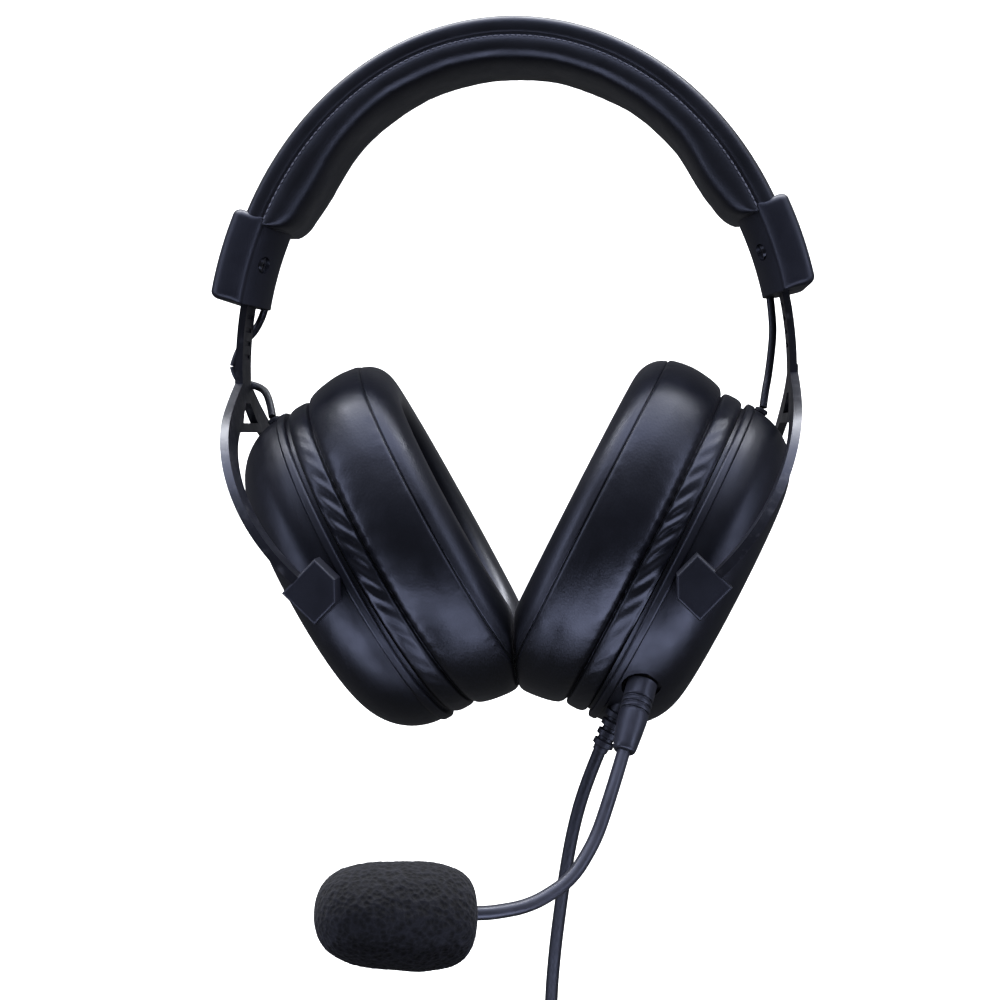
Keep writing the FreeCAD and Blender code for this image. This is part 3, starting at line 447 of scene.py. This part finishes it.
LEAD_ROUTES = {
    "left_link_lead_upper": [(76.3, 6.5, -67.0), (76.9, 6.4, -73.0), (77.0, 5.8, -79.0), (76.2, 5.0, -84.7)],
    "left_link_lead_lower": [(76.2, 5.0, -84.7), (75.4, 4.2, -90.4), (74.2, 1.7, -95.2), tuple(LEAD_END)],
    "right_link_lead_upper": [
        (-76.3, 6.5, -67.0),
        (-78.9, 8.9, -73.0),
        (-85.2, 9.5, -77.8),
        (-87.1, 9.4, -84.2),
    ],
    "right_link_lead_lower": [
        (-87.1, 9.4, -84.2),
        (-86.2, 9.7, -89.2),
        (-79.8, 9.9, -90.2),
        (-75.4, 5.6, -93.2),
        (-LEAD_END.x, LEAD_END.y, LEAD_END.z),
    ],
}


def loop_point(part, share, bend):
    """(x, z) on the hank's upright loop: 0 down the right run, 1 the foot, 2 up the left run, 3 the head."""
    half = HANK_HEIGHT / 2 - OUTER_BEND - CABLE_RADIUS
    straight = 2 * half
    if part == 0:
        x, z = bend, half - straight * share
    elif part == 1:
        x, z = bend * math.cos(math.pi * share), -half - bend * math.sin(math.pi * share)
    elif part == 2:
        x, z = -bend, -half + straight * share
    else:
        x, z = -bend * math.cos(math.pi * share), half + bend * math.sin(math.pi * share)
    waist = 1 - WAIST_PULL * bell(z, 0, WAIST_SPREAD)
    return x * waist, z


def hank_points():
    """Control points of the folded turns, twenty to a turn, then the last run down to the plug."""
    points = []
    for turn in range(len(HANK_TURNS) - 1):
        (back_a, bend_a), (back_b, bend_b) = HANK_TURNS[turn], HANK_TURNS[turn + 1]
        for part, count in enumerate(HANK_STEPS):
            for step in range(count):
                if turn == 0 and part == 0 and step == 0:
                    continue
                share = step / count
                moved_on = (0, 0, share / 2, 0.5 + share / 2)[part]
                back = back_a + (back_b - back_a) * moved_on
                x, z = loop_point(part, share, bend_a + (bend_b - bend_a) * moved_on)
                points.append(tuple(HANK_MIDDLE + Vector((x, back, z))))
    back, bend = HANK_TURNS[-1]
    for share in (0, 0.25, 0.5, 0.75, 1):
        x, z = loop_point(0, share, bend)
        points.append(tuple(HANK_MIDDLE + Vector((x, back, z))))
    foot = HANK_MIDDLE + Vector((bend, back, -HANK_HEIGHT / 2))
    points.append(tuple(foot))
    return points


def nurbs_tube(name, points, radius, material):
    """A round cord along the smooth spline of its control points."""
    curve = bpy.data.curves.new(name, "CURVE")
    curve.dimensions = "3D"
    curve.bevel_depth = radius * MM
    curve.bevel_resolution = 5
    curve.resolution_u = 10
    curve.use_fill_caps = True
    spline = curve.splines.new("NURBS")
    spline.points.add(len(points) - 1)
    for target, point in zip(spline.points, points):
        target.co = (*(Vector(point) * MM), 1)
    spline.order_u = 3
    spline.use_endpoint_u = True
    return new_object(name, curve, material)


def make_cable():
    """The headset's own cable: the hanging stretch, the folded hank and the run to the plug."""
    points = CABLE_ROUTE + hank_points()
    cable = nurbs_tube("headset_cable", points, CABLE_RADIUS, "cable_sheath")
    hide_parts("cable_lead", "cable_hank")
    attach(cable, "left_cup")
    tie = make_tie()


def make_tie():
    """Flat strap round the waist of the hank: a ring whose outline is a rectangle with round corners."""
    half_width, half_depth, half_height = 12.6, 10.2, 4.0
    squareness, steps = 3.2, 64
    rows = []
    for height in np.linspace(-half_height, half_height, 9):
        ring = []
        for step in range(steps):
            angle = 2 * math.pi * step / steps
            cos_a, sin_a = math.cos(angle), math.sin(angle)
            reach = 1 + 0.012 * ripple(4 * cos_a, 4 * sin_a, height, 3)
            corner = (abs(cos_a) ** squareness + abs(sin_a) ** squareness) ** (-1 / squareness)
            ring.append((cos_a * corner * half_width * reach, sin_a * corner * half_depth * reach, height))
        rows.append(ring)
    outside = np.array(rows)
    inside = outside[::-1] * np.array((0.93, 0.93, 0.97))
    points = np.concatenate((outside, inside)) + np.array(HANK_MIDDLE)
    tie = grid_mesh("hank_tie", points, "tie", around=True, along=True)
    face_outward(tie)
    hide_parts("cable_tie")
    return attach(tie, "left_cup")


def make_leads():
    """The link leads cross the moving joints; each is made as two tubes, an upper and a lower half."""
    for name, route in LEAD_ROUTES.items():
        tube = nurbs_tube(f"{name}_tube", route, LEAD_RADIUS, "lead_braid")
        mesh = bpy.data.meshes.new_from_object(tube)
        bpy.data.objects.remove(tube)
        lead = bpy.data.objects.new(f"{name}_sheath", mesh)
        bpy.context.scene.collection.objects.link(lead)
        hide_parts(name)
        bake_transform(lead)


make_cable()
make_leads()

# ---------------------------------------------------------------- headband

BAND_STEPS = 200
BAND_LENGTH = 250.0
END_ANGLE = 23.4
STITCH_COUNT, STITCH_BELOW_SEAM, STITCH_REACH = 104, 0.75, 17.25
STITCH_MARGIN = 0.012

# Sections are (depth below the band's outer curve, distance to the back), closed under the other piece.
COVER_FRONT = [
    (5.9, -16.2), (5.3, -17.0), (4.2, -17.5), (2.6, -17.6), (1.2, -17.1), (0.3, -15.6), (0.0, -12.5),
    (-0.15, -6.0),
]
COVER_SECTION = symmetric(COVER_FRONT, -0.2) + [(6.2, 8.0), (6.2, -8.0)]
CUSHION_FRONT = [
    (4.9, -15.8), (5.7, -16.8), (7.0, -17.5), (8.8, -17.7), (10.7, -17.1), (12.4, -15.4), (13.4, -12.0),
    (13.9, -6.5),
]
CUSHION_SECTION = symmetric(CUSHION_FRONT, 14.0) + [(4.7, 8.0), (4.7, -8.0)]


def band_frame(parameter):
    """Point on the band's outer curve and its inward normal, for an ellipse parameter."""
    cos_p, sin_p = math.cos(parameter), math.sin(parameter)
    point = Vector((BAND_HALF_WIDTH * cos_p, 0, BAND_BASE + BAND_RISE * sin_p))
    normal = Vector((-BAND_RISE * cos_p, 0, -BAND_HALF_WIDTH * sin_p)).normalized()
    return point, normal


def band_end():
    """Ellipse parameter where the band enters the end block."""
    low, high = 0.0, math.pi / 2
    for _ in range(50):
        middle = (low + high) / 2
        offset = band_frame(middle)[0] - BLOCK_CENTRE
        if math.degrees(math.atan2(offset.z, offset.x)) < END_ANGLE:
            low = middle
        else:
            high = middle
    return low


def band_point(parameter, depth, back):
    """Point at a depth below the band's outer curve and a distance to the back."""
    point, normal = band_frame(parameter)
    return point + normal * depth + Vector((0, back, 0))


def band_loft(name, section, tuck, swell, seed):
    """A band piece: a section swept round the head, drawn in at its ends and softly uneven."""
    shoulder_place, shoulder_width = 21.0, 17.0
    end_narrowing = 0.012
    start = band_end()
    outline = smooth_curve(section, 3, closed=True)
    rows = []
    for step in range(BAND_STEPS + 1):
        parameter = start + (math.pi - 2 * start) * step / BAND_STEPS
        from_end = min(step, BAND_STEPS - step) / BAND_STEPS * BAND_LENGTH
        rise = 1 - max(0.0, 1 - from_end / tuck) ** 2.2
        row = []
        for depth, back in outline:
            inner = max(0.0, depth - SEAM_DEPTH)
            shoulder = 0.24 * bell(from_end, shoulder_place, shoulder_width)
            fullness = 0.4 + 0.6 * math.sqrt(rise) + shoulder
            lump = ripple(parameter * 5.5, depth * 0.09, back * 0.05, seed) * swell
            crease = abs(ripple(parameter * 26, depth * 0.12, back * 0.16, seed + 5)) * swell * 0.35
            share = min(1.0, inner / 5.0)
            moved = min(depth, SEAM_DEPTH) + inner * fullness + share * (lump - crease)
            narrowed = back * (1 - end_narrowing * (1 - rise))
            row.append(tuple(band_point(parameter, moved, narrowed)))
        rows.append(row)
    piece = grid_mesh(name, np.array(rows), "band_leatherette")
    face_outward(piece)
    return piece


def make_headband():
    """The leatherette cover, the cushion under it and the thread along both seams."""
    cover = band_loft("headband_cover_leatherette", COVER_SECTION, 5.0, 0.25, 1)
    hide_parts("headband_top_cover")
    cushion = band_loft("headband_cushion_leatherette", CUSHION_SECTION, 9.0, 0.45, 2)
    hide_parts("headband_cushion")
    for piece, fill in ((cover, 0.7), (cushion, 0.75)):
        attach(piece, "headband")
    stitches = make_stitches("headband_stitches", band_stitch_line, STITCH_COUNT)
    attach(stitches, "headband")


def band_stitch_line(share):
    """Front and back seam: the first half of share runs along the front, the second along the back."""
    start = band_end() + STITCH_MARGIN
    side = -1 if share < 0.5 else 1
    parameter = start + (math.pi - 2 * start) * (share * 2 % 1.0)
    return band_point(parameter, SEAM_DEPTH + STITCH_BELOW_SEAM, side * STITCH_REACH)


def make_stitches(name, line, count):
    """Short threads laid end to end along a line, each dipping into the cloth at its ends."""
    thread_radius, end_radius = 0.19, 0.05
    vertices, faces = [], []
    rounds, lengths = 6, 5
    for index in range(2 * count):
        share = index / (2 * count)
        ends = [line(share + gap / (2 * count)) for gap in (0.08, 0.90)]
        middle_line = (ends[1] - ends[0]).normalized()
        across = middle_line.cross(Vector((0, 1, 0))).normalized()
        outward = across.cross(middle_line)
        base = len(vertices)
        for i in range(lengths):
            u = i / (lengths - 1)
            swell = math.sqrt(max(0.0, 1 - (2 * u - 1) ** 2)) * thread_radius + end_radius
            centre = ends[0].lerp(ends[1], u)
            for j in range(rounds):
                angle = 2 * math.pi * j / rounds
                spoke = across * math.cos(angle) + outward * math.sin(angle)
                vertices.append(tuple((centre + spoke * swell) * MM))
        for i in range(lengths - 1):
            for j in range(rounds):
                a, b = base + i * rounds, base + (i + 1) * rounds
                k = (j + 1) % rounds
                faces.append((a + j, a + k, b + k, b + j))
        faces.append(tuple(base + j for j in reversed(range(rounds))))
        faces.append(tuple(base + (lengths - 1) * rounds + j for j in range(rounds)))
    mesh = bpy.data.meshes.new(name)
    mesh.from_pydata(vertices, [], faces)
    mesh.polygons.foreach_set("use_smooth", [True] * len(mesh.polygons))
    made = new_object(name, mesh, "thread")
    face_outward(made)
    return made


make_headband()

# ---------------------------------------------------------------- ear pads

RIM_LONG, RIM_SHORT = 52.0, 43.0
PAD_MEAN_RADIUS = 48.0
PAD_GAP = 0.25
REAR_LEAN = 0.07
PAD_STEPS = 288
# (distance out from the rim oval, depth towards the head): base, skirt, groove, wall, seam, face, inner wall
PAD_SECTION = [
    (-20.4, -2.6), (-12.0, -2.5), (-2.6, -2.5), (-0.9, -3.0),
    (-0.3, -4.4), (-0.2, -6.2), (-0.3, -7.8), (-0.8, -8.7), (-1.9, -9.1), (-0.9, -9.6),
    (0.4, -10.8), (1.3, -13.4), (1.9, -17.0), (2.15, -20.5), (1.9, -23.8), (1.45, -26.2), (1.1, -27.2),
    (0.75, -27.55), (0.3, -27.75), (0.55, -28.05), (0.45, -28.5),
    (-0.5, -30.4), (-2.4, -32.4), (-5.0, -33.8), (-8.0, -34.4), (-11.2, -34.2), (-13.8, -33.1),
    (-15.6, -31.2), (-16.5, -28.6), (-17.0, -25.6), (-17.5, -23.2), (-18.5, -22.2), (-18.0, -21.0),
    (-18.9, -17.5), (-19.7, -12.0), (-20.2, -7.0),
]


def outer_wrinkles(angle, depth, seed):
    """Slanted folds on the skirt, puckers in the groove, and small pulls beside the groove and the seam."""
    cos_a, sin_a = math.cos(angle), math.sin(angle)
    along = angle * PAD_MEAN_RADIUS
    flank = abs(sin_a) ** 1.5
    skirt = bell(depth, -6.0, 2.6)
    slant = math.sin((along + depth * 1.5) * 0.95 + 2.2 * ripple(cos_a * 3, sin_a * 3, 0.3, seed + 1))
    uneven = 0.75 + 0.5 * ripple(cos_a * 2.6, sin_a * 2.6, 4.0, seed + 2)
    patch = 0.12 + 0.88 * bell(cos_a, -0.16, 0.36) * uneven
    total = 0.66 * skirt * flank * patch * slant
    pucker = bell(depth, -9.8, 1.2) * (0.2 + flank * bell(cos_a, -0.1, 0.6))
    total += 0.26 * pucker * math.sin(along * 1.9 + 3 * ripple(cos_a * 4, sin_a * 4, 1.0, seed + 3))
    draw = bell(depth, -12.6, 2.2)
    total += 0.22 * draw * flank * ripple(along * 0.28, depth * 0.1, 0.0, seed + 4)
    seam = bell(depth, -26.6, 1.3)
    return total + 0.12 * seam * ripple(along * 0.8, depth * 0.2, 2.0, seed + 6)


def inner_wrinkles(angle, depth, seed):
    """Gathers round the ear opening, where the leatherette is drawn together."""
    along = angle * PAD_MEAN_RADIUS
    gather = bell(depth, -21.4, 3.4)
    wave = math.sin(along * 2.3 + 2.4 * ripple(math.cos(angle) * 5, math.sin(angle) * 5, 2.0, seed + 5))
    pull = 0.25 * bell(depth, -15, 5) * ripple(along * 0.35, depth * 0.12, 0.0, seed + 7)
    return pull - 0.55 * gather * (0.4 + 0.6 * wave)


def pad_wrinkles(angle, out, depth, seed):
    """How far the leatherette stands off its smooth form, in millimetres."""
    total = 0.35 * ripple(math.cos(angle) * 2.2, math.sin(angle) * 2.2, depth * 0.05, seed)
    if out > -4:
        return total + outer_wrinkles(angle, depth, seed)
    if depth < -10:
        return total + inner_wrinkles(angle, depth, seed)
    return total


def squeeze(x, limit, softness):
    """Presses x back to a flat contact at limit, smoothly."""
    far_enough = 30
    reach = (x - limit) / softness
    return x if reach > far_enough else limit + softness * math.log1p(math.exp(reach))


def make_pad(side, seed):
    """Ear pad: its section swept round the rim oval, wrinkled, and flat where the two pads meet."""
    sign = SIDES[side]
    base_depth, contact_softness = -2.8, 0.5
    lean_depth, lean_spread = -36, 18
    outline = smooth_curve(PAD_SECTION, 4, closed=True)
    rows = []
    for step in range(PAD_STEPS):
        angle = 2 * math.pi * step / PAD_STEPS
        row = []
        for out, depth in outline:
            stand = pad_wrinkles(angle, out, depth, seed)
            reach = out + (stand if depth < base_depth else 0.0)
            down = (RIM_LONG + reach) * math.cos(angle)
            back = (RIM_SHORT + reach) * math.sin(angle)
            lean = 1 - REAR_LEAN * max(0.0, math.sin(angle)) * bell(depth, lean_depth, lean_spread)
            point = in_cup(down, back, depth * lean)
            row.append((squeeze(point.x, PAD_GAP, contact_softness) * sign, point.y, point.z))
        rows.append(row)
    pad = grid_mesh(f"{side}_ear_pad_leatherette", np.array(rows), "leatherette", around=True, along=True)
    face_outward(pad)
    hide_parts(f"{side}_ear_pad")
    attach(pad, f"{side}_cup")


for pad_seed, pad_side in enumerate(SIDES, start=1):
    make_pad(pad_side, pad_seed)

# ---------------------------------------------------------------- windshield

WIND_START = Vector((-8.0, -75.8, -231.9))
WIND_AXIS = Vector((-0.95, -0.30, 0.115)).normalized()
WIND_SLIMMING = 0.965
WIND_STEPS = 220
# (radius, distance along the axis) from the mouth round to the closed end
WIND_SECTION = [
    (2.2, 2.2), (2.1, 0.6), (3.2, -0.1), (5.8, 0.1), (8.8, 0.9), (11.4, 2.8), (13.0, 5.6), (13.9, 9.6),
    (14.3, 15.0), (14.25, 21.0), (13.8, 27.0), (12.6, 32.4), (10.4, 36.8), (7.4, 39.6), (3.8, 41.0),
    (0.5, 41.4),
]


def make_windshield():
    """Foam sleeve: a blunt barrel whose open cells break its outline."""
    full_relief_radius = 6
    around = spokes(WIND_AXIS, WIND_STEPS)
    rows = []
    for radius, distance in smooth_curve(WIND_SECTION, 9, closed=False):
        row = []
        for spoke in around:
            place = WIND_START + WIND_AXIS * distance + spoke * radius * WIND_SLIMMING
            fine = ripple(place.x * 1.3, place.y * 1.3, place.z * 1.3, 0)
            broad = ripple(place.x * 0.12, place.y * 0.12, place.z * 0.12, 2)
            coarse = ripple(place.x * 0.55, place.y * 0.55, place.z * 0.55, 1)
            lift = (0.16 * fine + 0.14 * coarse + 0.35 * broad) * min(1.0, radius / full_relief_radius)
            row.append(tuple(place + spoke * lift))
        rows.append(row)
    shield = grid_mesh("windshield_foam", np.array(rows), "foam")
    face_outward(shield)
    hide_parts("mic_windshield")
    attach(shield, "windshield")


make_windshield()

# ---------------------------------------------------------------- end blocks

BLOCK_OUTER, BLOCK_PARTING, BLOCK_HALF_WIDTH = 118.9, 109.3, 18.0
BLOCK_TOP_ANGLE, BLOCK_SWEEP = math.radians(24.4), math.radians(13.4)
BLOCK_CORNER, BLOCK_CORNER_STEPS, BLOCK_BLEND = 2.3, 6, 4.0
# (radius from the strip's centre, distance to the back)
BLOCK_FRONT = [
    (109.3, -16.7), (110.2, -17.4), (111.2, -17.85), (112.4, -18.0), (114.4, -18.0), (116.2, -18.0),
    (117.4, -17.7), (118.3, -17.0), (118.8, -16.0), (118.9, -14.6), (118.9, -7.0),
]
BLOCK_SECTION = symmetric(BLOCK_FRONT, BLOCK_OUTER)


def make_block_cover(side):
    """Outer half of the end block, swept round the strip's centre, with its end edges rounded over."""
    sign = SIDES[side]
    length = BLOCK_SWEEP * BLOCK_OUTER
    quarter = [math.pi / 2 * i / BLOCK_CORNER_STEPS for i in range(BLOCK_CORNER_STEPS + 1)]
    near_end = [BLOCK_CORNER * (1 - math.cos(angle)) for angle in quarter]
    stations = near_end + list(np.linspace(BLOCK_CORNER + 1, length - BLOCK_CORNER - 1, 12))
    stations += [length - distance for distance in reversed(near_end)]
    rows = []
    for station in stations:
        from_end = min(station, length - station)
        gap = max(0.0, BLOCK_CORNER - from_end)
        inset = BLOCK_CORNER - math.sqrt(BLOCK_CORNER**2 - gap**2)
        angle = BLOCK_TOP_ANGLE - station / BLOCK_OUTER
        row = []
        for radius, back in BLOCK_SECTION:
            height = radius - BLOCK_PARTING
            share = min(1.0, height / BLOCK_BLEND)
            reach = radius - inset * share * height / (BLOCK_OUTER - BLOCK_PARTING)
            side_step = back * (1 - inset * share / BLOCK_HALF_WIDTH)
            point = BLOCK_CENTRE + Vector((reach * math.cos(angle), side_step, reach * math.sin(angle)))
            row.append((point.x * sign, point.y, point.z))
        rows.append(row)
    cover = grid_mesh(f"{side}_block_cover", np.array(rows), "black_plastic")
    face_outward(cover)
    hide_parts(f"{side}_block_outer")
    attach(cover, "headband")


for block_side in SIDES:
    make_block_cover(block_side)

# ---------------------------------------------------------------- microphone sleeve

SLEEVE_STEPS = 72
# (radius, distance along the axis): head, three rings with grooves between them, taper, mouth round the boom
SLEEVE_SECTION = [
    (2.0, -2.4), (4.1, -2.4), (4.25, -2.0), (4.3, 0.6), (4.3, 2.5), (4.1, 2.8),
    (3.8, 2.9), (3.8, 3.3), (4.1, 3.4), (4.3, 3.7), (4.3, 4.4), (4.1, 4.7),
    (3.78, 4.8), (3.78, 5.2), (4.05, 5.3), (4.25, 5.6), (4.25, 6.3), (4.05, 6.6),
    (3.72, 6.7), (3.72, 7.1), (4.0, 7.2), (4.2, 7.5),
    (4.1, 10.0), (3.85, 13.0), (3.5, 16.5), (3.3, 18.2), (2.9, 19.0),
    (2.3, 19.2), (1.9, 19.0), (1.85, 16.0),
]


def make_sleeve():
    """Soft sleeve of the microphone plug: three rings below its head, then a taper to the boom."""
    mouth = in_cup(34.6, -31.0, 7.5)
    around = spokes(MIC_AXIS, SLEEVE_STEPS)
    rows = []
    for radius, distance in smooth_curve(SLEEVE_SECTION, 3, closed=False):
        rows.append([tuple(mouth + MIC_AXIS * distance + spoke * radius) for spoke in around])
    sleeve = grid_mesh("microphone_sleeve", np.array(rows), "boot_grey")
    face_outward(sleeve)
    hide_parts("mic_sleeve")
    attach(sleeve, "microphone")


make_sleeve()

# ---------------------------------------------------------------- stage and light


def make_stage():
    """Pale floor that sweeps up behind the object."""
    floor_height, back, reach, bend, top = -0.46, 1.6, 3.0, 0.8, 2.6
    bend_steps = 12
    profile = [(-reach, floor_height), (back - bend, floor_height)]
    for step in range(1, bend_steps + 1):
        angle = math.pi / 2 * step / bend_steps
        profile.append((back - bend + bend * math.sin(angle), floor_height + bend - bend * math.cos(angle)))
    profile.append((back, top))
    vertices = [(x, y, z) for y, z in profile for x in (-reach, reach)]
    faces = [(2 * i, 2 * i + 1, 2 * i + 3, 2 * i + 2) for i in range(len(profile) - 1)]
    mesh = bpy.data.meshes.new("studio_sweep")
    mesh.from_pydata(vertices, [], faces)
    mesh.polygons.foreach_set("use_smooth", [True] * len(mesh.polygons))
    paper = Surface("studio_paper", (0.93, 0.93, 0.93), 0.9)
    paper.mottle(paper.noise(3), 0.01)
    MATERIALS["paper"] = paper.material
    sweep = new_object("studio_sweep", mesh, "paper")
    sweep.visible_glossy = False
    sweep.visible_diffuse = False


def add_light(name, place, target, size, power, colour=(1, 1, 1)):
    """Rectangular lamp aimed at a target, with its size in metres and its power in watts."""
    data = bpy.data.lights.new(name, "AREA")
    data.shape = "RECTANGLE"
    data.size, data.size_y = size
    data.energy = power
    data.color = colour
    light = bpy.data.objects.new(name, data)
    bpy.context.scene.collection.objects.link(light)
    light.location = place
    light.rotation_euler = (Vector(target) - Vector(place)).to_track_quat("-Z", "Y").to_euler()


def light_scene():
    """Cool soft lamps above, beside and below the object, one lamp for the paper and a faint sky."""
    middle = (0, 0, -0.12)
    cool = (0.70, 0.75, 1.0)
    add_light("top_softbox", (0, -0.25, 0.60), middle, (1.3, 0.5), 7.5, cool)
    add_light("left_strip", (-0.8, -0.34, -0.02), middle, (0.24, 0.9), 3.0, cool)
    add_light("right_strip", (0.8, -0.34, -0.02), middle, (0.24, 0.9), 3.0, cool)
    add_light("low_bounce", (0, -0.38, -0.62), (0, 0, -0.17), (1.1, 0.35), 7.0, cool)
    add_light("paper_light", (0, 0.4, 1.5), (0, 1.6, -0.1), (2.4, 0.8), 130)
    world = bpy.data.worlds.new("studio")
    world.use_nodes = True
    background = world.node_tree.nodes["Background"]
    background.inputs["Color"].default_value = (0.92, 0.94, 1.0, 1)
    background.inputs["Strength"].default_value = 0.09
    bpy.context.scene.world = world
    bpy.context.scene.view_settings.view_transform = "Standard"


make_stage()
light_scene()
